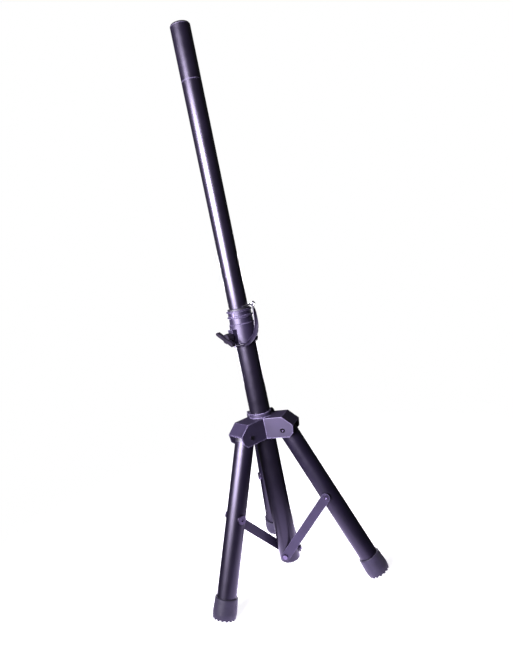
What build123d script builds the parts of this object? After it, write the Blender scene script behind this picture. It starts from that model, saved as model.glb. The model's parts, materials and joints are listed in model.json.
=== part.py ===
from build123d import *
from math import cos, radians, sin, sqrt, atan2, degrees
import os

# Folding tripod speaker stand. Millimetres, +Z up, +Y towards the rear leg.
# The origin is on the floor, on the axis of the pole.

# ---------------------------------------------------------------- driving dimensions
HEIGHT = 1008.6              # floor to the top of the pole
MAST_RADIUS = 17.5           # 35 mm pole that a speaker's socket drops over
MAST_WALL = 1.8
MAST_BOTTOM = 400.0
SEAT_LINE = 916.0            # fine groove that marks how far the socket goes down
TUBE_RADIUS = 19.0           # lower tube
TUBE_BORE = 17.85
TUBE_BOTTOM = 31.6
TUBE_TOP = 500.0
RUNNING_GAP = 0.05           # radial clearance of a running fit

LEG_AZIMUTHS = {"rear": 90.0, "left": 210.0, "right": 330.0}
SPLAY = 23.15                # legs from the vertical, degrees
PIVOT_RADIUS = 44.05
LEG_LENGTH = 309.3           # pivot to the middle of the boot's sole
SOLE_HEIGHT = 7.2            # middle of the sole above the floor
LEG_RADIUS = 17.25
LEG_WALL = 1.5
BRACE_ON_LEG = 141.7         # pivot to brace bolt, along the leg
BRACE_FOOT_Z = 44.1          # brace screw on the lower tube

PIVOT_Z = LEG_LENGTH * cos(radians(SPLAY)) + SOLE_HEIGHT

# Leg bracket, a three-armed casting
ARM_HALF_WIDTH = 20.5
ARM_WALL = 2.5
ARM_REACH = 65.5
ARM_SHOULDER = 47.0          # where the sloping front of an arm begins
BRACKET_TOP = PIVOT_Z + 25.1
BRACKET_BOTTOM = PIVOT_Z - 13.4
RING_TOP = PIVOT_Z + 33.4
RING_RADIUS = 20.8
HUB_RADIUS = 23.4
LINER_RADIUS = 20.05

# Braces, flat bars
BAR_INNER = 19.55            # inner face, from the plane through the pole's axis
BAR_THICKNESS = 2.5
BAR_HALF_WIDTH = 8.0
PIVOT_PIN_RADIUS = 3.0

# Collar at the top of the lower tube
COLLAR_BOTTOM = 457.0
COLLAR_TOP = 517.5
SCREW_AZIMUTH = 215.0        # clamp screw
SCREW_Z = 472.5
SCREW_RADIUS = 4.0
HANDLE_TILT = 32.0           # T bar of the clamp screw from the horizontal, degrees
PIN_AZIMUTH = 345.0          # safety pin's pull direction
PIN_Z = 523.0
STRAP_RIVET_AZIMUTH = 219.0
STRAP_RIVET_REACH = 27.0
STRAP_RIVET_LIFT = 0.9
STRAP_RIVET_RADIUS = 1.6

os.makedirs("parts", exist_ok=True)


# ---------------------------------------------------------------- directions and planes
def outward(azimuth):
    a = radians(azimuth)
    return Vector(cos(a), sin(a), 0)


def sideways(azimuth):
    a = radians(azimuth)
    return Vector(-sin(a), cos(a), 0)


UP = Vector(0, 0, 1)


def leg_direction(azimuth):
    return outward(azimuth) * sin(radians(SPLAY)) - UP * cos(radians(SPLAY))


def leg_point(azimuth, along):
    pivot = outward(azimuth) * PIVOT_RADIUS + UP * PIVOT_Z
    return pivot + leg_direction(azimuth) * along


def side_plane(azimuth, offset=0.0):
    """Upright plane through the pole's axis: x outward, y up. Its normal is minus sideways."""
    return Plane(origin=-sideways(azimuth) * offset, x_dir=outward(azimuth), z_dir=-sideways(azimuth))


def leg_section(azimuth, along):
    """Plane square to a leg, looking down it."""
    return Plane(origin=leg_point(azimuth, along), x_dir=sideways(azimuth), z_dir=leg_direction(azimuth))


def leg_profile(azimuth):
    """Plane for a profile turned about a leg: x is radius, y is distance down the leg."""
    return Plane(
        origin=leg_point(azimuth, 0),
        x_dir=sideways(azimuth),
        z_dir=sideways(azimuth).cross(leg_direction(azimuth)),
    )


def cross_leg(azimuth, along):
    """Plane through a leg's axis whose normal is minus sideways, centred at a point on the leg."""
    return Plane(origin=leg_point(azimuth, along), x_dir=outward(azimuth), z_dir=-sideways(azimuth))


def radial_plane(azimuth, radius, z):
    """Plane that faces outward: x is sideways, y is up."""
    return Plane(origin=outward(azimuth) * radius + UP * z, x_dir=sideways(azimuth), z_dir=outward(azimuth))


def strap_rivet_point():
    """Where the strap's rivet enters the underside of the clamp boss."""
    return outward(STRAP_RIVET_AZIMUTH) * STRAP_RIVET_REACH + UP * (COLLAR_BOTTOM + STRAP_RIVET_LIFT)


def write(part, name):
    part.label = name
    export_step(part, f"parts/{name}.step")


# ---------------------------------------------------------------- mast
CAP_THICKNESS = 3.0
CAP_PLUG = 20.0
GROOVE_HALF = 0.4
GROOVE_DEPTH = 0.4
GUIDE_LENGTH = 30.0
GUIDE_LIP = 3.0

mast_top = HEIGHT - CAP_THICKNESS
mast_bore = MAST_RADIUS - MAST_WALL

with BuildPart() as mast_tube:
    with BuildSketch(Plane.XY.offset(MAST_BOTTOM)):
        Circle(MAST_RADIUS)
        Circle(mast_bore, mode=Mode.SUBTRACT)
    extrude(amount=mast_top - MAST_BOTTOM)
    with BuildSketch(Plane.XY.offset(SEAT_LINE - GROOVE_HALF)):
        Circle(MAST_RADIUS + 1)
        Circle(MAST_RADIUS - GROOVE_DEPTH, mode=Mode.SUBTRACT)
    extrude(amount=2 * GROOVE_HALF, mode=Mode.SUBTRACT)
write(mast_tube.part, "mast_tube")

with BuildPart() as mast_cap:
    with BuildSketch(Plane.XY.offset(mast_top - CAP_PLUG)):
        Circle(mast_bore)
        Circle(mast_bore - 2.5, mode=Mode.SUBTRACT)
    extrude(amount=CAP_PLUG)
    with BuildSketch(Plane.XY.offset(mast_top)):
        Circle(MAST_RADIUS)
    extrude(amount=CAP_THICKNESS)
    chamfer(mast_cap.edges().filter_by(GeomType.CIRCLE).sort_by(Axis.Z)[-1], length=2.2, length2=1.4)
write(mast_cap.part, "mast_cap")

# Nylon guide that centres the mast in the lower tube
with BuildPart() as mast_guide:
    with BuildSketch(Plane.XY.offset(MAST_BOTTOM - GUIDE_LIP)):
        Circle(TUBE_BORE - RUNNING_GAP)
        Circle(mast_bore - 2.5, mode=Mode.SUBTRACT)
    extrude(amount=GUIDE_LIP)
    with BuildSketch(Plane.XY.offset(MAST_BOTTOM)):
        Circle(mast_bore)
        Circle(mast_bore - 2.5, mode=Mode.SUBTRACT)
    extrude(amount=GUIDE_LENGTH)
write(mast_guide.part, "mast_guide")

# ---------------------------------------------------------------- lower tube and its plug
PLUG_LIP = 3.0
PLUG_LENGTH = 24.0
SCREW_HEAD_RADIUS = 5.0
SCREW_HEAD_HEIGHT = 2.4
SHOE_RADIUS = 4.2

brace_azimuths = [azimuth - 90 for azimuth in LEG_AZIMUTHS.values()]

with BuildPart() as lower_tube:
    with BuildSketch(Plane.XY.offset(TUBE_BOTTOM)):
        Circle(TUBE_RADIUS)
        Circle(TUBE_BORE, mode=Mode.SUBTRACT)
    extrude(amount=TUBE_TOP - TUBE_BOTTOM)
    for azimuth in brace_azimuths:
        with BuildSketch(radial_plane(azimuth, TUBE_BORE / 2, BRACE_FOOT_Z)):
            Circle(PIVOT_PIN_RADIUS)
        extrude(amount=TUBE_RADIUS, mode=Mode.SUBTRACT)
    with BuildSketch(radial_plane(SCREW_AZIMUTH, TUBE_BORE / 2, SCREW_Z)):
        Circle(SHOE_RADIUS + 0.1)
    extrude(amount=TUBE_RADIUS, mode=Mode.SUBTRACT)
write(lower_tube.part, "lower_tube")

with BuildPart() as tube_plug:
    with BuildSketch(Plane.XY.offset(TUBE_BOTTOM - PLUG_LIP)):
        Circle(TUBE_RADIUS - 0.2)
    extrude(amount=PLUG_LIP)
    chamfer(tube_plug.edges().sort_by(Axis.Z)[0], length=2.0)
    with BuildSketch(Plane.XY.offset(TUBE_BOTTOM)):
        Circle(TUBE_BORE)
    extrude(amount=PLUG_LENGTH)
    for azimuth in brace_azimuths:
        with BuildSketch(radial_plane(azimuth, TUBE_BORE - 8, BRACE_FOOT_Z)):
            Circle(PIVOT_PIN_RADIUS)
        extrude(amount=TUBE_RADIUS, mode=Mode.SUBTRACT)
write(tube_plug.part, "tube_plug")

# Shoulder screws that carry the braces' lower ends
with BuildPart() as brace_screws:
    for azimuth in brace_azimuths:
        with BuildSketch(radial_plane(azimuth, TUBE_BORE - 8, BRACE_FOOT_Z)):
            Circle(PIVOT_PIN_RADIUS)
        extrude(amount=BAR_INNER + BAR_THICKNESS + 0.1 - (TUBE_BORE - 8))
        with BuildSketch(radial_plane(azimuth, BAR_INNER + BAR_THICKNESS + 0.1, BRACE_FOOT_Z)):
            Circle(SCREW_HEAD_RADIUS)
        extrude(amount=SCREW_HEAD_HEIGHT, taper=12)
write(brace_screws.part, "brace_screws")

# ---------------------------------------------------------------- collar and mast clamp
BUSH_RADIUS = 20.4
BUSH_LIP_TOP = COLLAR_TOP + 3.0
WINDOW_AZIMUTH = 227.0
WINDOW_WIDTH = 3.8
WINDOW_HEIGHT = 7.6
BOSS_REACH = 31.0
BOSS_HALF_WIDTH = 5.4
BOSS_ROOT_HALF_WIDTH = 8.6
BOSS_BOTTOM = COLLAR_BOTTOM + 3.0
BOSS_TOP = SCREW_Z + 13.5
SCREW_TIP = 20.3

with BuildPart() as collar:
    with BuildSketch(Plane.XZ):
        with BuildLine():
            Polyline(
                (TUBE_RADIUS, COLLAR_BOTTOM),
                (22.6, COLLAR_BOTTOM),
                (24.4, COLLAR_BOTTOM + 2.5),
                (23.2, COLLAR_BOTTOM + 35),
                (21.9, COLLAR_BOTTOM + 36.2),
                (21.4, COLLAR_BOTTOM + 46.3),
                (23.5, COLLAR_BOTTOM + 47.5),
                (23.5, COLLAR_BOTTOM + 49.5),
                (21.5, COLLAR_BOTTOM + 50.5),
                (21.5, COLLAR_TOP - 3.6),
                (23.6, COLLAR_TOP - 2.8),
                (23.6, COLLAR_TOP - 0.8),
                (22.8, COLLAR_TOP),
                (BUSH_RADIUS, COLLAR_TOP),
                (BUSH_RADIUS, TUBE_TOP),
                (TUBE_RADIUS, TUBE_TOP),
                close=True,
            )
        make_face()
    revolve(axis=Axis.Z)
    # Boss for the clamp screw, wider at its root
    with BuildSketch(Plane.XY.offset(BOSS_BOTTOM)):
        with BuildLine():
            root = outward(SCREW_AZIMUTH) * (TUBE_RADIUS + 1.5)
            nose = outward(SCREW_AZIMUTH) * BOSS_REACH
            side = sideways(SCREW_AZIMUTH)
            Polyline(
                root + side * BOSS_ROOT_HALF_WIDTH,
                nose + side * BOSS_HALF_WIDTH,
                nose - side * BOSS_HALF_WIDTH,
                root - side * BOSS_ROOT_HALF_WIDTH,
                close=True,
            )
        make_face()
    extrude(amount=BOSS_TOP - BOSS_BOTTOM)
    with BuildSketch(Plane.XY.offset(COLLAR_BOTTOM - 1)):
        Circle(TUBE_RADIUS)
    extrude(amount=TUBE_TOP - COLLAR_BOTTOM + 1, mode=Mode.SUBTRACT)
    with BuildSketch(radial_plane(SCREW_AZIMUTH, TUBE_BORE / 2, SCREW_Z)):
        Circle(SCREW_RADIUS + RUNNING_GAP)
    extrude(amount=BOSS_REACH, mode=Mode.SUBTRACT)
    with BuildSketch(radial_plane(SCREW_AZIMUTH, TUBE_BORE / 2, SCREW_Z)):
        Circle(SHOE_RADIUS + 0.1)
    extrude(amount=SCREW_TIP - TUBE_BORE / 2, mode=Mode.SUBTRACT)
    with BuildSketch(Plane(origin=strap_rivet_point())):
        Circle(STRAP_RIVET_RADIUS)
    extrude(amount=8, mode=Mode.SUBTRACT)
    # Window that shows the bush's key
    with BuildSketch(radial_plane(WINDOW_AZIMUTH, BUSH_RADIUS, COLLAR_TOP - 3.6)):
        Rectangle(WINDOW_WIDTH, WINDOW_HEIGHT, align=(Align.CENTER, Align.MAX))
    extrude(amount=6, mode=Mode.SUBTRACT)
write(collar.part, "collar")

with BuildPart() as collar_bush:
    with BuildSketch(Plane.XY.offset(TUBE_TOP)):
        Circle(BUSH_RADIUS)
        Circle(MAST_RADIUS + RUNNING_GAP, mode=Mode.SUBTRACT)
    extrude(amount=COLLAR_TOP - TUBE_TOP)
    with BuildSketch(Plane.XY.offset(COLLAR_TOP)):
        Circle(BUSH_RADIUS + 0.5)
        Circle(MAST_RADIUS + RUNNING_GAP, mode=Mode.SUBTRACT)
    extrude(amount=BUSH_LIP_TOP - COLLAR_TOP)
    chamfer(collar_bush.edges().filter_by(GeomType.CIRCLE).group_by(Axis.Z)[-1].sort_by(SortBy.RADIUS)[-1], 1.0)
write(collar_bush.part, "collar_bush")

with BuildPart() as clamp_shoe:
    with BuildSketch(radial_plane(SCREW_AZIMUTH, MAST_RADIUS + 0.2, SCREW_Z)):
        Circle(SHOE_RADIUS)
    extrude(amount=SCREW_TIP - 0.2 - (MAST_RADIUS + 0.2))
write(clamp_shoe.part, "clamp_shoe")

HUB_START = 32.2
HUB_LENGTH = 12.0
HANDLE_HUB_RADIUS = 9.0
BAR_LENGTH = 45.0
T_BAR_WIDTH = 6.5
T_BAR_DEPTH = 6.0

with BuildPart() as clamp_screw:
    with BuildSketch(radial_plane(SCREW_AZIMUTH, SCREW_TIP, SCREW_Z)):
        Circle(SCREW_RADIUS)
    extrude(amount=HUB_START + 6 - SCREW_TIP)
write(clamp_screw.part, "clamp_screw")

with BuildPart() as clamp_handle:
    with BuildSketch(radial_plane(SCREW_AZIMUTH, HUB_START, SCREW_Z)):
        RegularPolygon(HANDLE_HUB_RADIUS, 8)
        Circle(SCREW_RADIUS, mode=Mode.SUBTRACT)
    extrude(amount=6)
    with BuildSketch(radial_plane(SCREW_AZIMUTH, HUB_START + 6, SCREW_Z)):
        RegularPolygon(HANDLE_HUB_RADIUS, 8)
    extrude(amount=HUB_LENGTH - 6)
    with BuildSketch(radial_plane(SCREW_AZIMUTH, HUB_START + HUB_LENGTH - 2, SCREW_Z)):
        SlotOverall(BAR_LENGTH, T_BAR_WIDTH, rotation=-HANDLE_TILT)
    extrude(amount=T_BAR_DEPTH)
write(clamp_handle.part, "clamp_handle")

# ---------------------------------------------------------------- safety pin and its strap
WIRE_RADIUS = 1.6
SHANK_RADIUS = 2.0
HOOK_RADIUS = 19.6
HOOK_TIP_AZIMUTH = 286.0
EYE_RADIUS = 3.3
EYE_CENTRE = 26.4
STRAP_WIDTH = 9.0
STRAP_THICKNESS = 3.0
# Middle of the strap: azimuth, radius, height, and how far its top edge leans outward in degrees
STRAP_STATIONS = [
    (213, 30.0, 457.9, 90),
    (224, 30.0, 457.9, 90),
    (240, 29.2, 455.3, 60),
    (256, 29.0, 455.2, 50),
    (272, 29.0, 458.0, 42),
    (290, 29.3, 464.0, 38),
    (308, 29.6, 472.5, 30),
    (322, 29.6, 483.0, 18),
    (332, 28.8, 495.0, 8),
    (339, 28.2, 506.0, 2),
    (343, 27.0, 515.0, 0),
]
RIVET_HEAD_RADIUS = 3.2
RIVET_HEAD_HEIGHT = 1.6
RIVET_HEAD_DROP = 4.0

with BuildPart() as safety_pin:
    with BuildLine(Plane.XY.offset(PIN_Z)) as hook_path:
        hook_arc = CenterArc((0, 0), HOOK_RADIUS, HOOK_TIP_AZIMUTH, PIN_AZIMUTH - HOOK_TIP_AZIMUTH)
    with BuildSketch(Plane(origin=hook_arc @ 0, z_dir=hook_arc % 0)):
        Circle(WIRE_RADIUS)
    sweep(path=hook_path.wires()[0])
    with BuildSketch(radial_plane(PIN_AZIMUTH, HOOK_RADIUS - 1.3, PIN_Z)):
        Circle(SHANK_RADIUS)
    extrude(amount=EYE_CENTRE - EYE_RADIUS - HOOK_RADIUS + 1.3)
    with BuildSketch(Plane(origin=outward(PIN_AZIMUTH) * (EYE_CENTRE - EYE_RADIUS) + UP * PIN_Z)):
        Circle(WIRE_RADIUS)
    revolve(axis=Axis(outward(PIN_AZIMUTH) * EYE_CENTRE + UP * PIN_Z, sideways(PIN_AZIMUTH)))
write(safety_pin.part, "safety_pin")


def strap_point(station):
    azimuth, radius, z, _ = station
    return outward(azimuth) * radius + UP * z


def strap_section(index):
    """Plane square to the strap at a station, with x along the strap's width."""
    azimuth, _, _, lean = STRAP_STATIONS[index]
    before = STRAP_STATIONS[max(index - 1, 0)]
    after = STRAP_STATIONS[min(index + 1, len(STRAP_STATIONS) - 1)]
    along = (strap_point(after) - strap_point(before)).normalized()
    width = UP * cos(radians(lean)) + outward(azimuth) * sin(radians(lean))
    width = width - along * width.dot(along)
    return Plane(origin=strap_point(STRAP_STATIONS[index]), x_dir=width, z_dir=along)


with BuildPart() as pin_strap:
    for index in range(len(STRAP_STATIONS)):
        with BuildSketch(strap_section(index)):
            Rectangle(STRAP_WIDTH, STRAP_THICKNESS)
    loft(ruled=True)
    with BuildSketch(Plane(origin=strap_rivet_point() - UP * STRAP_THICKNESS)):
        Circle(STRAP_RIVET_RADIUS)
    extrude(amount=2 * STRAP_THICKNESS, mode=Mode.SUBTRACT)
write(pin_strap.part, "pin_strap")

# ---------------------------------------------------------------- leg bracket
LINER_TOP = BRACKET_TOP - 1.5
LOCK_AZIMUTH = 30.0
LOCK_Z = RING_TOP - 9.0
LOCK_REACH = 28.5
LOCK_BOSS_RADIUS = 6.5
LOCK_SCREW_RADIUS = 3.0
POCKET_START = HUB_RADIUS + 1.2


def arm_outline():
    Polyline(
        (0, BRACKET_TOP),
        (ARM_SHOULDER, BRACKET_TOP),
        (ARM_REACH, PIVOT_Z + 8.6),
        (ARM_REACH - 2, PIVOT_Z - 6.4),
        (ARM_REACH - 9.5, BRACKET_BOTTOM),
        (0, BRACKET_BOTTOM),
        close=True,
    )


def pocket_outline():
    """Room for a leg inside an arm, open below and at the front."""
    slope = (ARM_REACH - ARM_SHOULDER, PIVOT_Z + 8.6 - BRACKET_TOP)
    length = sqrt(slope[0] ** 2 + slope[1] ** 2)
    inset = (slope[1] / length * ARM_WALL, -slope[0] / length * ARM_WALL)
    roof = BRACKET_TOP - ARM_WALL
    shoulder = (ARM_SHOULDER - 1.0, roof)
    brow = (ARM_REACH + inset[0], PIVOT_Z + 8.6 + inset[1])
    Polyline(
        (POCKET_START, roof),
        shoulder,
        brow,
        (ARM_REACH + 10, brow[1]),
        (ARM_REACH + 10, BRACKET_BOTTOM - 1),
        (POCKET_START, BRACKET_BOTTOM - 1),
        close=True,
    )


RIVET_FLANGE = 1.2
RIVET_FLANGE_RADIUS = 4.2
EDGE_RADIUS = 1.2

with BuildPart() as bracket:
    with BuildSketch(Plane.XY.offset(BRACKET_BOTTOM)):
        Circle(HUB_RADIUS)
    extrude(amount=BRACKET_TOP - BRACKET_BOTTOM)
    for azimuth in LEG_AZIMUTHS.values():
        with BuildSketch(side_plane(azimuth)):
            with BuildLine():
                arm_outline()
            make_face()
        extrude(amount=ARM_HALF_WIDTH, both=True)
    arm_edges = bracket.edges().filter_by(
        lambda edge: edge.center().Z > PIVOT_Z - 10
        and Vector(edge.center().X, edge.center().Y).length > HUB_RADIUS + 8
    )
    fillet(arm_edges, EDGE_RADIUS)
    with BuildSketch(Plane.XY.offset(BRACKET_TOP - 1)):
        Circle(RING_RADIUS)
    extrude(amount=RING_TOP - BRACKET_TOP + 1)
    with BuildSketch(radial_plane(LOCK_AZIMUTH, LINER_RADIUS - 2, LOCK_Z)):
        Circle(LOCK_BOSS_RADIUS)
    extrude(amount=LOCK_REACH - LINER_RADIUS + 2)
    for azimuth in LEG_AZIMUTHS.values():
        with BuildSketch(side_plane(azimuth)):
            with BuildLine():
                pocket_outline()
            make_face()
        extrude(amount=ARM_HALF_WIDTH - ARM_WALL, both=True, mode=Mode.SUBTRACT)
        with BuildSketch(side_plane(azimuth)):
            with Locations((PIVOT_RADIUS, PIVOT_Z)):
                Circle(PIVOT_PIN_RADIUS)
        extrude(amount=ARM_HALF_WIDTH + 2, both=True, mode=Mode.SUBTRACT)
    with BuildSketch(Plane.XY.offset(BRACKET_BOTTOM - 1)):
        Circle(LINER_RADIUS)
    extrude(amount=LINER_TOP - BRACKET_BOTTOM + 1, mode=Mode.SUBTRACT)
    with BuildSketch(Plane.XY.offset(LINER_TOP)):
        Circle(TUBE_RADIUS + 0.15)
    extrude(amount=RING_TOP - LINER_TOP + 1, mode=Mode.SUBTRACT)
    with BuildSketch(radial_plane(LOCK_AZIMUTH, 0, LOCK_Z)):
        Circle(LOCK_SCREW_RADIUS)
    extrude(amount=LOCK_REACH + 1, mode=Mode.SUBTRACT)
write(bracket.part, "bracket")

# Nylon liner that runs on the lower tube
with BuildPart() as bracket_liner:
    with BuildSketch(Plane.XY.offset(BRACKET_BOTTOM)):
        Circle(LINER_RADIUS)
        Circle(TUBE_RADIUS + RUNNING_GAP, mode=Mode.SUBTRACT)
    extrude(amount=LINER_TOP - BRACKET_BOTTOM)
    with BuildSketch(radial_plane(LOCK_AZIMUTH, 0, LOCK_Z)):
        Circle(LOCK_SCREW_RADIUS + 0.2)
    extrude(amount=LOCK_REACH, mode=Mode.SUBTRACT)
write(bracket_liner.part, "bracket_liner")

with BuildPart() as lock_screw:
    with BuildSketch(radial_plane(LOCK_AZIMUTH, TUBE_RADIUS + 0.2, LOCK_Z)):
        Circle(LOCK_SCREW_RADIUS)
    extrude(amount=LOCK_REACH - TUBE_RADIUS - 1.2)
    with BuildSketch(radial_plane(LOCK_AZIMUTH, LOCK_REACH - 1.0, LOCK_Z)):
        RegularPolygon(1.7, 6)
    extrude(amount=-3, mode=Mode.SUBTRACT)
write(lock_screw.part, "lock_screw")

# Tubular rivets through the arms, with a dimple in each end
with BuildPart() as leg_pivots:
    for azimuth in LEG_AZIMUTHS.values():
        with BuildSketch(side_plane(azimuth)):
            with Locations((PIVOT_RADIUS, PIVOT_Z)):
                Circle(PIVOT_PIN_RADIUS)
        extrude(amount=ARM_HALF_WIDTH + RIVET_FLANGE, both=True)
        for end in (-1, 1):
            with BuildSketch(side_plane(azimuth, end * ARM_HALF_WIDTH)):
                with Locations((PIVOT_RADIUS, PIVOT_Z)):
                    Circle(RIVET_FLANGE_RADIUS)
            extrude(amount=end * RIVET_FLANGE)
            with BuildSketch(side_plane(azimuth, end * (ARM_HALF_WIDTH + RIVET_FLANGE))):
                with Locations((PIVOT_RADIUS, PIVOT_Z)):
                    Circle(PIVOT_PIN_RADIUS / 2)
            extrude(amount=-end * 3, mode=Mode.SUBTRACT)
write(leg_pivots.part, "leg_pivots")

# ---------------------------------------------------------------- legs
TUBE_START = 9.0
TUBE_END = LEG_LENGTH - 5.0
PLUG_END = 42.0
BOOT_LENGTH = 35.0
BOOT_TOP_RADIUS = 20.0
BOOT_RADIUS = 21.2
SOLE_RADIUS = 20.0
NOTCHES = 16
NOTCH_WIDTH = 4.0
NOTCH_DEPTH = 1.8
SADDLE_RADIUS = 6.5
CUP_RADIUS = 7.6
CUP_OUTER = LEG_RADIUS + 2.6
leg_bore = LEG_RADIUS - LEG_WALL
brace_pin_inner = BAR_INNER - 0.35


def make_leg_tube(azimuth):
    with BuildPart() as leg_tube:
        with BuildSketch(leg_section(azimuth, TUBE_START)):
            Circle(LEG_RADIUS)
            Circle(leg_bore, mode=Mode.SUBTRACT)
        extrude(amount=TUBE_END - TUBE_START)
        with BuildSketch(cross_leg(azimuth, BRACE_ON_LEG)):
            Circle(PIVOT_PIN_RADIUS)
        extrude(amount=LEG_RADIUS + 1, both=True, mode=Mode.SUBTRACT)
    return leg_tube.part


def make_leg_plug(azimuth):
    """Nylon end of a leg: a round nose that turns on the rivet, and a spigot in the tube."""
    with BuildPart() as leg_plug:
        with BuildSketch(leg_section(azimuth, -LEG_RADIUS)):
            Circle(LEG_RADIUS)
        extrude(amount=LEG_RADIUS + TUBE_START)
        with BuildSketch(cross_leg(azimuth, 0)):
            Circle(LEG_RADIUS)
            with BuildLine():
                across = Vector(cos(radians(SPLAY)), sin(radians(SPLAY)), 0) * LEG_RADIUS
                down = Vector(sin(radians(SPLAY)), -cos(radians(SPLAY)), 0) * (TUBE_START + 1)
                Polyline(across, across + down, -across + down, -across, close=True)
            make_face()
        extrude(amount=LEG_RADIUS + 1, both=True, mode=Mode.INTERSECT)
        with BuildSketch(leg_section(azimuth, TUBE_START)):
            Circle(leg_bore)
        extrude(amount=PLUG_END - TUBE_START)
        with BuildSketch(cross_leg(azimuth, 0)):
            Circle(PIVOT_PIN_RADIUS + RUNNING_GAP)
        extrude(amount=LEG_RADIUS + 1, both=True, mode=Mode.SUBTRACT)
    return leg_plug.part


def make_boot(azimuth):
    """Rubber boot with a notched sole, cut flat where it meets the floor."""
    boot_top = LEG_LENGTH - BOOT_LENGTH
    with BuildPart() as boot:
        with BuildSketch(leg_profile(azimuth)):
            with BuildLine():
                Polyline(
                    (0, LEG_LENGTH),
                    (SOLE_RADIUS, LEG_LENGTH),
                    (BOOT_RADIUS - 0.3, LEG_LENGTH - 6),
                    (BOOT_RADIUS, LEG_LENGTH - 10),
                    (BOOT_TOP_RADIUS, boot_top + 1),
                    (BOOT_TOP_RADIUS - 0.8, boot_top),
                    (LEG_RADIUS, boot_top),
                    (LEG_RADIUS, TUBE_END),
                    (0, TUBE_END),
                    close=True,
                )
            make_face()
        revolve(axis=Axis(leg_point(azimuth, 0), leg_direction(azimuth)))
        with BuildSketch(leg_section(azimuth, LEG_LENGTH - NOTCH_DEPTH)):
            with PolarLocations(SOLE_RADIUS, NOTCHES, start_angle=90 + 180 / NOTCHES):
                Rectangle(10, NOTCH_WIDTH)
        extrude(amount=NOTCH_DEPTH + 1, mode=Mode.SUBTRACT)
        split(bisect_by=Plane.XY, keep=Keep.TOP)
    return boot.part


def make_brace_pin(azimuth):
    """Pin through a leg: a spacer on the brace's side and a dished cup on the other."""
    with BuildPart() as brace_pin:
        with BuildSketch(cross_leg(azimuth, BRACE_ON_LEG).offset(-CUP_OUTER)):
            Circle(PIVOT_PIN_RADIUS)
        extrude(amount=CUP_OUTER + brace_pin_inner)
        with BuildSketch(cross_leg(azimuth, BRACE_ON_LEG)):
            Circle(SADDLE_RADIUS)
        extrude(amount=brace_pin_inner)
        with BuildSketch(cross_leg(azimuth, BRACE_ON_LEG)):
            Circle(CUP_RADIUS)
        extrude(amount=-CUP_OUTER)
        with BuildSketch(leg_section(azimuth, BRACE_ON_LEG - 20)):
            Circle(LEG_RADIUS)
        extrude(amount=40, mode=Mode.SUBTRACT)
        with BuildSketch(cross_leg(azimuth, BRACE_ON_LEG).offset(-CUP_OUTER)):
            Circle(PIVOT_PIN_RADIUS)
        extrude(amount=CUP_OUTER + brace_pin_inner)
        with BuildSketch(cross_leg(azimuth, BRACE_ON_LEG).offset(-CUP_OUTER)):
            Circle(PIVOT_PIN_RADIUS * 0.8)
        extrude(amount=1.6, mode=Mode.SUBTRACT)
    return brace_pin.part


# ---------------------------------------------------------------- braces
HEAD_RADIUS = 4.6
HEAD_HEIGHT = 1.4
brace_top = Vector(
    PIVOT_RADIUS + BRACE_ON_LEG * sin(radians(SPLAY)),
    PIVOT_Z - BRACE_ON_LEG * cos(radians(SPLAY)),
)
brace_foot = Vector(0, BRACE_FOOT_Z)
brace_length = (brace_top - brace_foot).length
brace_rise = degrees(atan2(brace_top.Y - brace_foot.Y, brace_top.X))


def make_brace_bar(azimuth):
    with BuildPart() as brace_bar:
        with BuildSketch(side_plane(azimuth, BAR_INNER)):
            with Locations((brace_foot + brace_top) * 0.5):
                SlotCenterToCenter(brace_length, 2 * BAR_HALF_WIDTH, rotation=brace_rise)
            with Locations(brace_foot):
                Circle(PIVOT_PIN_RADIUS + RUNNING_GAP, mode=Mode.SUBTRACT)
            with Locations(brace_top):
                Circle(PIVOT_PIN_RADIUS, mode=Mode.SUBTRACT)
        extrude(amount=BAR_THICKNESS)
    return brace_bar.part


def make_brace_rivet(azimuth):
    """Upper rivet of a brace: its shank ends flush with the bar's inner face."""
    with BuildPart() as brace_rivet:
        with BuildSketch(side_plane(azimuth, BAR_INNER)):
            with Locations(brace_top):
                Circle(PIVOT_PIN_RADIUS)
        extrude(amount=BAR_THICKNESS)
        with BuildSketch(side_plane(azimuth, BAR_INNER + BAR_THICKNESS)):
            with Locations(brace_top):
                Circle(HEAD_RADIUS)
        extrude(amount=HEAD_HEIGHT)
        with BuildSketch(side_plane(azimuth, BAR_INNER + BAR_THICKNESS + HEAD_HEIGHT)):
            with Locations(brace_top):
                Circle(PIVOT_PIN_RADIUS / 2)
        extrude(amount=-2.5, mode=Mode.SUBTRACT)
    return brace_rivet.part


for name, azimuth in LEG_AZIMUTHS.items():
    write(make_leg_tube(azimuth), f"leg_tube_{name}")
    write(make_leg_plug(azimuth), f"leg_plug_{name}")
    write(make_boot(azimuth), f"boot_{name}")
    write(make_brace_pin(azimuth), f"brace_pin_{name}")
    write(make_brace_bar(azimuth), f"brace_bar_{name}")
    write(make_brace_rivet(azimuth), f"brace_rivet_{name}")

with BuildPart() as strap_rivet:
    rivet_end = strap_rivet_point() - UP * RIVET_HEAD_DROP
    with BuildSketch(Plane(origin=rivet_end)):
        Circle(STRAP_RIVET_RADIUS)
    extrude(amount=RIVET_HEAD_DROP + 6)
    with BuildSketch(Plane(origin=rivet_end)):
        Circle(RIVET_HEAD_RADIUS)
    extrude(amount=RIVET_HEAD_HEIGHT)
write(strap_rivet.part, "strap_rivet")

print("pivot", round(PIVOT_Z, 3), "brace length", round(brace_length, 3), "rise", round(brace_rise, 3))
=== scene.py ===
import bpy
import bmesh
import json
from math import cos, pi, radians, sin
from mathutils import Matrix, Vector


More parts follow.
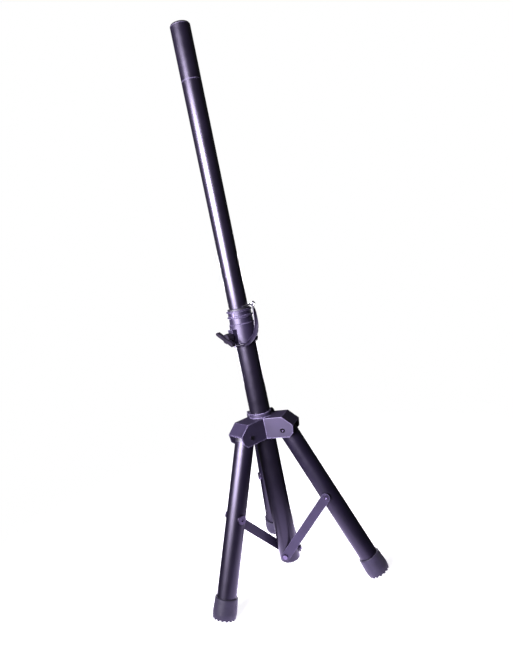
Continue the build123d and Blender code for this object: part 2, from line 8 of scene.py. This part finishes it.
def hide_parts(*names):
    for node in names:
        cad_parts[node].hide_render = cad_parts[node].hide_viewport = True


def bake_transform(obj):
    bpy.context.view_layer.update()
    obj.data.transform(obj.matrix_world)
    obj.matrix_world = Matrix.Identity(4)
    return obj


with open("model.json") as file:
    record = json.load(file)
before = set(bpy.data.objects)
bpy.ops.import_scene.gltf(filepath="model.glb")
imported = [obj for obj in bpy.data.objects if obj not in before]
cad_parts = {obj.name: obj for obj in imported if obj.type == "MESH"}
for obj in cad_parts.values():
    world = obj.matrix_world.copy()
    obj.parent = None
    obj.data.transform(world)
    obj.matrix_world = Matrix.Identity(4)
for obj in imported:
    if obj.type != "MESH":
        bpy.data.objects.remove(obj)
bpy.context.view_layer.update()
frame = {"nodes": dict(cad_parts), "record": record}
MM = 0.001
WHITE = (1, 1, 1, 1)

# ---------------------------------------------------------------- camera
CAMERA_AZIMUTH = radians(-6.466)      # round the pole from the front
CAMERA_DISTANCE = 0.9202              # from the pole's axis, metres
CAMERA_HEIGHT = 0.5934
CAMERA_PAN = radians(-1.529)
CAMERA_TILT = radians(7.114)
CAMERA_ROLL = radians(-11.559)
CAMERA_LENS = 28.08                   # mm on a 36 mm sensor along the frame's long side
CAMERA_SENSOR = 36
CAMERA_NEAREST = 0.01


def make_camera():
    yaw = CAMERA_AZIMUTH + CAMERA_PAN
    forward = Vector((-sin(yaw) * cos(CAMERA_TILT), cos(yaw) * cos(CAMERA_TILT), -sin(CAMERA_TILT)))
    level = Vector((cos(yaw), sin(yaw), 0))
    upright = level.cross(forward)
    right = level * cos(CAMERA_ROLL) + upright * sin(CAMERA_ROLL)
    top = upright * cos(CAMERA_ROLL) - level * sin(CAMERA_ROLL)
    data = bpy.data.cameras.new("camera")
    data.lens = CAMERA_LENS
    data.sensor_width = CAMERA_SENSOR
    data.clip_start = CAMERA_NEAREST
    camera = bpy.data.objects.new("camera", data)
    bpy.context.scene.collection.objects.link(camera)
    sideways = CAMERA_DISTANCE * sin(CAMERA_AZIMUTH)
    back = CAMERA_DISTANCE * cos(CAMERA_AZIMUTH)
    place = Matrix.Translation(Vector((sideways, -back, CAMERA_HEIGHT)))
    camera.matrix_world = place @ Matrix((right, top, -forward)).transposed().to_4x4()
    bpy.context.scene.camera = camera


# ---------------------------------------------------------------- studio
AMBIENT = (0.95, 0.92, 1.0, 1)
AMBIENT_STRENGTH = 0.06

FLOOR_RADIUS = 3.0
FLOOR_SIDES = 96
FLOOR_DROP = 0.0004                   # the floor is this far under the boots, so that no faces share a plane
FLOOR_PAINT = (0.93, 0.93, 0.94, 1)
FLOOR_ROUGHNESS = 0.8
FLOOR_GLOW = 0.8
FADE_NEAR = 0.25                      # the floor fades out between these distances from the pole
FADE_FAR = 0.9

BOUNCE_COLOUR = (0.75, 0.64, 1.0, 1)
BOUNCE_STRENGTH = 3.6
BOUNCE_CENTRE = (-0.02, -0.06, 0)
BOUNCE_NEAR = 0.12
BOUNCE_FAR = 0.32


def area_light(name, azimuth, distance, height, width, tall, power, colour, aim, spread):
    """A soft box round the pole, which faces the height aim on the pole's axis."""
    data = bpy.data.lights.new(name, "AREA")
    data.shape = "RECTANGLE"
    data.size = width
    data.size_y = tall
    data.energy = power
    data.color = colour
    data.spread = radians(spread)
    light = bpy.data.objects.new(name, data)
    bpy.context.scene.collection.objects.link(light)
    place = Vector((distance * cos(radians(azimuth)), distance * sin(radians(azimuth)), height))
    light.location = place
    light.rotation_euler = (Vector((0, 0, aim)) - place).to_track_quat("-Z", "Y").to_euler()


def mix_shaders(tree, amount, first, second):
    """first where amount is 0, second where it is 1."""
    mix = tree.nodes.new("ShaderNodeMixShader")
    tree.links.new(amount, mix.inputs["Fac"])
    tree.links.new(first, mix.inputs[1])
    tree.links.new(second, mix.inputs[2])
    return mix.outputs["Shader"]


def seen_by_camera(tree):
    """1 for what the camera sees directly, 0 for light and reflections."""
    return tree.nodes.new("ShaderNodeLightPath").outputs["Is Camera Ray"]


def smooth_fade(tree, distance, near, far, at_near, at_far):
    fade = tree.nodes.new("ShaderNodeMapRange")
    fade.interpolation_type = "SMOOTHSTEP"
    fade.inputs["From Min"].default_value = near
    fade.inputs["From Max"].default_value = far
    fade.inputs["To Min"].default_value = at_near
    fade.inputs["To Max"].default_value = at_far
    tree.links.new(distance, fade.inputs["Value"])
    return fade.outputs["Result"]


def distance_from(tree, centre):
    where = tree.nodes.new("ShaderNodeTexCoord")
    distance = tree.nodes.new("ShaderNodeVectorMath")
    distance.operation = "DISTANCE"
    distance.inputs[1].default_value = centre
    tree.links.new(where.outputs["Object"], distance.inputs[0])
    return distance.outputs["Value"]


def background(tree, colour, strength):
    node = tree.nodes.new("ShaderNodeBackground")
    node.inputs["Color"].default_value = colour
    node.inputs["Strength"].default_value = strength
    return node.outputs["Background"]


def make_world():
    """A white backdrop that lights the stand only faintly."""
    bpy.context.scene.view_settings.view_transform = "Standard"
    world = bpy.data.worlds.new("studio")
    bpy.context.scene.world = world
    world.use_nodes = True
    tree = world.node_tree
    tree.nodes.clear()
    out = tree.nodes.new("ShaderNodeOutputWorld")
    ambient = background(tree, AMBIENT, AMBIENT_STRENGTH)
    backdrop = background(tree, WHITE, 1.0)
    tree.links.new(mix_shaders(tree, seen_by_camera(tree), ambient, backdrop), out.inputs["Surface"])


def floor_bounce(tree):
    """The light that the floor under the stand throws back at it, which falls off outwards."""
    glow = tree.nodes.new("ShaderNodeEmission")
    glow.inputs["Color"].default_value = BOUNCE_COLOUR
    distance = distance_from(tree, BOUNCE_CENTRE)
    strength = smooth_fade(tree, distance, BOUNCE_NEAR, BOUNCE_FAR, BOUNCE_STRENGTH, 0.0)
    tree.links.new(strength, glow.inputs["Strength"])
    return glow.outputs["Emission"]


def floor_paint(tree):
    paint = tree.nodes.new("ShaderNodeBsdfPrincipled")
    paint.inputs["Base Color"].default_value = FLOOR_PAINT
    paint.inputs["Roughness"].default_value = FLOOR_ROUGHNESS
    paint.inputs["Emission Color"].default_value = WHITE
    paint.inputs["Emission Strength"].default_value = FLOOR_GLOW
    return paint.outputs["BSDF"]


def make_floor():
    bpy.ops.mesh.primitive_circle_add(
        vertices=FLOOR_SIDES, radius=FLOOR_RADIUS, fill_type="NGON", location=(0, 0, -FLOOR_DROP))
    floor = bpy.context.object
    floor.name = "floor"
    material = bpy.data.materials.new("floor_paint")
    material.use_nodes = True
    tree = material.node_tree
    tree.nodes.clear()
    out = tree.nodes.new("ShaderNodeOutputMaterial")
    surface = mix_shaders(tree, seen_by_camera(tree), floor_bounce(tree), floor_paint(tree))
    clear = tree.nodes.new("ShaderNodeBsdfTransparent").outputs["BSDF"]
    fade = smooth_fade(tree, distance_from(tree, (0, 0, 0)), FADE_NEAR, FADE_FAR, 0.0, 1.0)
    tree.links.new(mix_shaders(tree, fade, surface, clear), out.inputs["Surface"])
    floor.data.materials.append(material)


# ---------------------------------------------------------------- materials
EDGE_SAMPLES = 6
EDGE_FLAT = 0.995                     # cosine to the rounded normal at which a face counts as flat
EDGE_SHARP = 0.90                     # and at which it counts as a sharp edge


class Recipe:
    """A node material with the few building blocks that the finishes share."""

    SOCKETS = {
        "metallic": "Metallic", "specular": "Specular IOR Level", "tint": "Specular Tint",
        "sheen": "Sheen Weight", "sheen_roughness": "Sheen Roughness",
    }

    def __init__(self, name, **uniform):
        self.material = bpy.data.materials.new(name)
        self.material.use_nodes = True
        self.tree = self.material.node_tree
        self.shader = self.tree.nodes["Principled BSDF"]
        self.coords = self.tree.nodes.new("ShaderNodeTexCoord")
        for key, value in uniform.items():
            self.shader.inputs[self.SOCKETS[key]].default_value = value

    def link(self, output, socket):
        self.tree.links.new(output, socket)

    def put(self, value, socket):
        """A number or colour goes on the socket itself, and an output is linked to it."""
        if isinstance(value, (float, tuple)):
            socket.default_value = value
        else:
            self.link(value, socket)

    def noise(self, scale, detail, roughness=0.5, stretch=(1, 1, 1)):
        mapping = self.tree.nodes.new("ShaderNodeMapping")
        mapping.inputs["Scale"].default_value = stretch
        texture = self.tree.nodes.new("ShaderNodeTexNoise")
        texture.inputs["Scale"].default_value = scale
        texture.inputs["Detail"].default_value = detail
        texture.inputs["Roughness"].default_value = roughness
        self.link(self.coords.outputs["Object"], mapping.inputs["Vector"])
        self.link(mapping.outputs["Vector"], texture.inputs["Vector"])
        return texture.outputs["Fac"]

    def range(self, value, low, high, to_low=0.0, to_high=1.0):
        node = self.tree.nodes.new("ShaderNodeMapRange")
        node.inputs["From Min"].default_value = low
        node.inputs["From Max"].default_value = high
        node.inputs["To Min"].default_value = to_low
        node.inputs["To Max"].default_value = to_high
        self.link(value, node.inputs["Value"])
        return node.outputs["Result"]

    def blend(self, amount, first, second):
        node = self.tree.nodes.new("ShaderNodeMix")
        node.data_type = "RGBA"
        self.link(amount, node.inputs["Factor"])
        self.put(first, node.inputs["A"])
        self.put(second, node.inputs["B"])
        return node.outputs["Result"]

    def multiply(self, first, second):
        node = self.tree.nodes.new("ShaderNodeMath")
        node.operation = "MULTIPLY"
        self.put(first, node.inputs[0])
        self.put(second, node.inputs[1])
        return node.outputs["Value"]

    def edges(self, radius):
        """1 within about radius of an edge, 0 on a flat or gently curved face."""
        bevel = self.tree.nodes.new("ShaderNodeBevel")
        bevel.samples = EDGE_SAMPLES
        bevel.inputs["Radius"].default_value = radius
        geometry = self.tree.nodes.new("ShaderNodeNewGeometry")
        dot = self.tree.nodes.new("ShaderNodeVectorMath")
        dot.operation = "DOT_PRODUCT"
        self.link(bevel.outputs["Normal"], dot.inputs[0])
        self.link(geometry.outputs["Normal"], dot.inputs[1])
        return self.range(dot.outputs["Value"], EDGE_FLAT, EDGE_SHARP)

    def bump(self, height, strength, distance):
        node = self.tree.nodes.new("ShaderNodeBump")
        node.inputs["Strength"].default_value = strength
        node.inputs["Distance"].default_value = distance
        self.link(height, node.inputs["Height"])
        return node.outputs["Normal"]

    def finish(self, colour, roughness, normal):
        self.link(colour, self.shader.inputs["Base Color"])
        self.link(roughness, self.shader.inputs["Roughness"])
        self.link(normal, self.shader.inputs["Normal"])
        return self.material


COAT_TINT = (0.87, 0.81, 1.0, 1)
EDGE_WEAR_AND_HIGHLIGHT = (0.16, 0.14, 0.22, 1)        # coat worn thin along an edge, with a painted highlight on the edge
CHIPPED = (0.30, 0.27, 0.36, 1)       # bare steel in a nick
# Width of the band along edges that is lightened as worn coat and painted highlight
EDGE_WIDTH = 0.0011
BRACKET_EDGE_WIDTH = 0.0024


def coated_steel(name, dark, light, rough, grain, shine=0.5, edge_wear_and_highlight=0.5, nicks=0.0, edge=EDGE_WIDTH):
    """Satin powder coat: faint mottling, orange peel, edges lightened as worn coat and painted highlight,
    and small nicks that show the steel.
    """
    r = Recipe(name, specular=shine, tint=COAT_TINT)
    mottle = r.range(r.noise(scale=38, detail=4), 0.35, 0.65)
    base = r.blend(mottle, dark, light)
    patches = r.range(r.noise(scale=70, detail=3), 0.22, 0.5)
    # Lighter band along the edges in random patches: worn coat, and a painted highlight of the edge
    worn_and_highlit_edge = r.multiply(r.edges(edge), patches)
    colour = r.blend(r.multiply(worn_and_highlit_edge, edge_wear_and_highlight), base, EDGE_WEAR_AND_HIGHLIGHT)
    if nicks:
        chips = r.range(r.noise(scale=34, detail=3, stretch=(1.6, 1.6, 7.0)), 0.755, 0.775)
        colour = r.blend(r.multiply(chips, nicks), colour, CHIPPED)
    smudges = r.noise(scale=90, detail=5, roughness=0.6)
    roughness = r.range(smudges, 0.3, 0.7, rough - 0.03, rough + 0.03)
    orange_peel = r.bump(r.noise(scale=grain, detail=2), strength=0.035, distance=0.00006)
    return r.finish(colour, roughness, orange_peel)


def rubber(name, dark, light):
    """Moulded rubber: dusty, with a fine matt grain."""
    r = Recipe(name, specular=0.35, sheen=0.12, sheen_roughness=0.5)
    dust = r.range(r.noise(scale=60, detail=6, roughness=0.65), 0.38, 0.7)
    colour = r.blend(dust, dark, light)
    roughness = r.range(r.noise(scale=140, detail=4), 0.3, 0.7, 0.5, 0.7)
    grain = r.bump(r.noise(scale=1500, detail=3), strength=0.3, distance=0.0002)
    return r.finish(colour, roughness, grain)


def plastic(name, dark, light, rough):
    """Moulded plastic with a light grain and faint handling marks."""
    r = Recipe(name, specular=0.5)
    colour = r.blend(r.range(r.noise(scale=55, detail=4), 0.35, 0.65), dark, light)
    marks = r.noise(scale=220, detail=5, roughness=0.7, stretch=(1, 1, 0.2))
    roughness = r.range(marks, 0.35, 0.7, rough - 0.06, rough + 0.1)
    grain = r.bump(r.noise(scale=1200, detail=2), strength=0.15, distance=0.0001)
    return r.finish(colour, roughness, grain)


def metal(name, dark, light, rough):
    """Plated, blackened or chromed steel with fine drawing lines."""
    r = Recipe(name, metallic=1.0)
    lines = r.noise(scale=900, detail=3, roughness=0.6, stretch=(1, 1, 0.1))
    colour = r.blend(r.range(lines, 0.3, 0.7), dark, light)
    roughness = r.range(r.noise(scale=200, detail=4), 0.3, 0.7, rough * 0.75, rough * 1.3)
    drawn = r.bump(lines, strength=0.08, distance=0.0001)
    return r.finish(colour, roughness, drawn)


# The finish of each material slot
FINISHES = {
    "tube_coat": coated_steel(
        "tube_coat", (0.0020, 0.0015, 0.0034, 1), (0.0030, 0.0023, 0.0050, 1), rough=0.31, grain=900,
        nicks=0.8),
    "bar_coat": coated_steel(
        "bar_coat", (0.010, 0.0078, 0.018, 1), (0.014, 0.011, 0.025, 1), rough=0.42, grain=1100),
    "cast_coat": coated_steel(
        "cast_coat", (0.0058, 0.0045, 0.0105, 1), (0.0085, 0.0066, 0.0155, 1), rough=0.42, grain=2400,
        shine=0.4, edge_wear_and_highlight=0.7),
    "boot_rubber": rubber("boot_rubber", (0.0085, 0.0064, 0.0165, 1), (0.0140, 0.0108, 0.0260, 1)),
    "black_nylon": plastic("black_nylon", (0.003, 0.0025, 0.004, 1), (0.006, 0.005, 0.008, 1), 0.5),
    "handle_plastic": plastic("handle_plastic", (0.005, 0.004, 0.007, 1), (0.009, 0.007, 0.012, 1), 0.3),
    "strap_plastic": plastic("strap_plastic", (0.008, 0.0065, 0.013, 1), (0.014, 0.011, 0.022, 1), 0.3),
    "dark_hardware": metal("dark_hardware", (0.1, 0.085, 0.13, 1), (0.2, 0.17, 0.25, 1), 0.32),
    "plated_steel": metal("plated_steel", (0.4, 0.4, 0.43, 1), (0.58, 0.58, 0.62, 1), 0.28),
    "chrome_wire": metal("chrome_wire", (0.75, 0.75, 0.78, 1), (0.9, 0.9, 0.93, 1), 0.08),
}

# Nodes whose finish differs from the others of their slot
LEG_COAT = coated_steel(
    "leg_coat", (0.0021, 0.0015, 0.0044, 1), (0.0031, 0.0022, 0.0064, 1), rough=0.38, grain=800, shine=0.42)
RIVET_STEEL = metal("rivet_steel", (0.16, 0.14, 0.20, 1), (0.26, 0.23, 0.31, 1), 0.13)
OWN_FINISHES = {
    # The bracket gets the widest and strongest edge band of worn coat and painted highlight
    "bracket": coated_steel(
        "bracket_coat", (0.0098, 0.0077, 0.0165, 1), (0.0140, 0.0110, 0.0235, 1), rough=0.50, grain=2400,
        shine=0.5, edge_wear_and_highlight=1.0, edge=BRACKET_EDGE_WIDTH),
    "leg_pivots": RIVET_STEEL,
}
for side in ("rear", "left", "right"):
    OWN_FINISHES[f"leg_tube_{side}"] = LEG_COAT
    OWN_FINISHES[f"brace_rivet_{side}"] = RIVET_STEEL


def dress_nodes():
    for entry in frame["record"]["subparts"]:
        materials = frame["nodes"][entry["node"]].data.materials
        materials.clear()
        materials.append(OWN_FINISHES.get(entry["node"], FINISHES[entry["material_slot"]]))


# ---------------------------------------------------------------- strap of the safety pin
# Middle of the strap, in degrees and millimetres: azimuth, radius and height, then the azimuth and
# elevation that its face looks to
STRAP_STATIONS = (
    (212, 30.0, 457.9, 212, -90),
    (219, 30.0, 457.9, 219, -90),
    (226, 30.0, 457.8, 226, -85),
    (240, 29.3, 456.2, 240, -62),
    (256, 29.0, 456.0, 250, -50),
    (272, 29.0, 458.6, 252, -32),
    (290, 29.4, 464.4, 250, -8),
    (306, 29.6, 471.5, 248, 4),
    (317, 29.2, 479.5, 256, 4),
    (326, 28.6, 490.0, 280, 0),
    (333, 28.0, 501.0, 300, 4),
    (339, 27.4, 510.5, 318, 4),
    (343.5, 26.6, 516.5, 336, 0),
    (345, 26.4, 519.7, 345, 0),
)
LAST_STATION = len(STRAP_STATIONS) - 1
STRAP_STEPS = 6                       # rings of the mesh between two stations
STRAP_WIDTH = 8.2
STRAP_THICKNESS = 2.2
STRAP_CORNER = 0.28                   # chamfer of the section, as a share of the thickness
RIB_HEIGHT = 0.45                     # raised rim along both edges of the strap
RIB_WIDTH = 1.3
ROOT_WIDTH = 0.72                     # width at the rivet, as a share of the full width
ROOT_TAPER = 0.8                      # stations from there to the full width
NECK_WIDTH = 0.62                     # width at the eye, as a share of the full width
NECK_TAPER = 1.6                      # stations from the full width to there
EYE_HOLE = 2.1
EYE_RADIUS = 4.3
EYE_HALF = 1.1                        # half of the eye's thickness
EYE_CORNER = 0.4
EYE_SIDES = 28
TANGENT_STEP = 0.02                   # the direction is taken over this much of a station each way


def outward(azimuth, elevation=0):
    a = radians(azimuth)
    e = radians(elevation)
    return Vector((cos(a) * cos(e), sin(a) * cos(e), sin(e)))


def smooth_between(values, at):
    """Catmull-Rom value of a list of vectors at a fractional index."""
    index = min(int(at), len(values) - 2)
    part = at - index
    before = values[max(index - 1, 0)]
    first = values[index]
    second = values[index + 1]
    after = values[min(index + 2, len(values) - 1)]
    cubic = 3 * first - before - 3 * second + after
    square = 2 * before - 5 * first + 4 * second - after
    return (2 * first + (second - before) * part + square * part ** 2 + cubic * part ** 3) / 2


def strap_frame(at):
    """Centre, direction, face normal and sideways direction of the strap at a fractional station."""
    centres = [outward(a) * r + Vector((0, 0, z)) for a, r, z, _, _ in STRAP_STATIONS]
    faces = [outward(a, e) for _, _, _, a, e in STRAP_STATIONS]
    centre = smooth_between(centres, at)
    ahead = smooth_between(centres, min(at + TANGENT_STEP, LAST_STATION))
    behind = smooth_between(centres, max(at - TANGENT_STEP, 0))
    along = (ahead - behind).normalized()
    normal = smooth_between(faces, at)
    normal = (normal - along * normal.dot(along)).normalized()
    return centre, along, normal, along.cross(normal)


def strap_outline(width):
    """Section of the strap: flat back, and a face with a raised rim along both edges."""
    half = width / 2
    deep = STRAP_THICKNESS / 2
    corner = STRAP_THICKNESS * STRAP_CORNER
    inner = half - RIB_WIDTH
    face = deep - RIB_HEIGHT
    right = [
        (half - corner, -deep), (half, -deep + corner), (half, deep - corner), (half - corner, deep),
        (inner + corner, deep), (inner, face),
    ]
    left = [(-x, y) for x, y in reversed(right)]
    return right + left


def strap_ring(at):
    centre, along, normal, across = strap_frame(at)
    from_root = min(1.0, at / ROOT_TAPER)
    from_eye = min(1.0, (LAST_STATION - at) / NECK_TAPER)
    root = ROOT_WIDTH + (1 - ROOT_WIDTH) * from_root
    neck = NECK_WIDTH + (1 - NECK_WIDTH) * from_eye
    outline = strap_outline(STRAP_WIDTH * root * neck)
    return [(centre + across * x + normal * y) * MM for x, y in outline]


def bridge(skin, first, second):
    """Faces between two rings of vertices."""
    for i in range(len(first)):
        j = (i + 1) % len(first)
        skin.faces.new((first[i], first[j], second[j], second[i]))


def add_ribbon(skin):
    """The strap itself, which ends inside the ring of the eye."""
    stop = LAST_STATION * STRAP_STEPS + 1 - STRAP_STEPS // 2
    loops = [[skin.verts.new(point) for point in strap_ring(i / STRAP_STEPS)] for i in range(stop)]
    for first, second in zip(loops, loops[1:]):
        bridge(skin, first, second)
    skin.faces.new(list(reversed(loops[0])))
    skin.faces.new(loops[-1])


def add_eye(skin):
    """The eye that the ring of the pin passes through."""
    centre, along, normal, across = strap_frame(LAST_STATION)
    inside = EYE_HOLE + EYE_CORNER
    outside = EYE_RADIUS - EYE_CORNER
    flat = EYE_HALF - EYE_CORNER
    section = [
        (EYE_HOLE, -flat), (inside, -EYE_HALF), (outside, -EYE_HALF), (EYE_RADIUS, -flat),
        (EYE_RADIUS, flat), (outside, EYE_HALF), (inside, EYE_HALF), (EYE_HOLE, flat),
    ]
    loops = []
    for k in range(EYE_SIDES):
        turn = 2 * pi * k / EYE_SIDES
        spoke = across * cos(turn) + along * sin(turn)
        loops.append([skin.verts.new((centre + spoke * r + normal * y) * MM) for r, y in section])
    for k in range(EYE_SIDES):
        bridge(skin, loops[(k + 1) % EYE_SIDES], loops[k])


def make_strap():
    skin = bmesh.new()
    add_ribbon(skin)
    add_eye(skin)
    bmesh.ops.recalc_face_normals(skin, faces=skin.faces)
    mesh = bpy.data.meshes.new("pin_lanyard")
    skin.to_mesh(mesh)
    skin.free()
    for face in mesh.polygons:
        face.use_smooth = True
    strap = bpy.data.objects.new("pin_lanyard", mesh)
    bpy.context.scene.collection.objects.link(strap)
    strap.data.materials.append(FINISHES["strap_plastic"])
    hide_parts("pin_strap")
    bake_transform(strap)


make_camera()
make_world()
area_light("key", azimuth=221, distance=1.5, height=0.88, width=1.35, tall=0.66, power=60,
           colour=(0.88, 0.82, 1.0), aim=0.77, spread=70)
area_light("back", azimuth=83, distance=1.6, height=0.17, width=1.3, tall=0.32, power=11,
           colour=(0.92, 0.88, 1.0), aim=0.45, spread=100)
area_light("back_high", azimuth=83, distance=1.6, height=0.75, width=1.3, tall=0.5, power=45,
           colour=(0.92, 0.88, 1.0), aim=1.12, spread=36)
make_floor()
dress_nodes()
make_strap()
